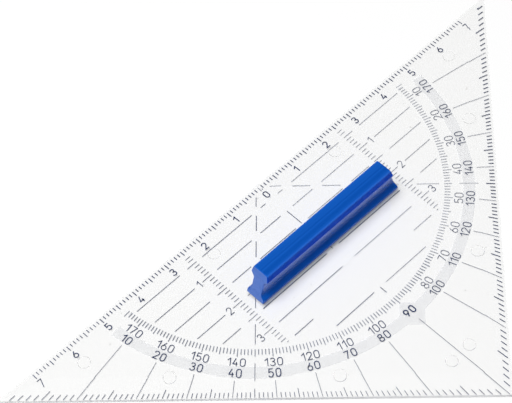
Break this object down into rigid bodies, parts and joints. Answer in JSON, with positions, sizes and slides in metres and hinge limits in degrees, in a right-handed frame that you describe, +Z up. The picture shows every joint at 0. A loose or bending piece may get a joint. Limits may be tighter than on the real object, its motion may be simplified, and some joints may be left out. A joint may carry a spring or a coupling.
{
  "type": "geometry set square",
  "caption": "Clear right-angled set square with a centimetre ruler along its long edge, a half-circle protractor and a blue grip bar that pegs on and pulls off.",
  "frame": {"origin": "the zero mark: the middle of the ruling edge, at the plate's printed underside", "axes": "+X along the ruling edge, +Y out of the ruling edge, away from the right angle, +Z up, out of the face that the grip stands on"},
  "size_m": [0.1588, 0.0798, 0.0109],
  "materials": {
    "clear_plate": "clear gloss",
    "blue_grip": "gloss",
    "dark_ink": "printed ink",
    "pale_band": "thin printed tint"
  },
  "bodies": {
    "plate": {"plate": "clear_plate"},
    "grip": {"grip": "blue_grip"}
  },
  "joints": [
    {"name": "grip_pull_off", "type": "slide", "parent": "plate", "child": "grip", "axis": [0, 0, 1], "range_m": [0, 0.015]}
  ]
}
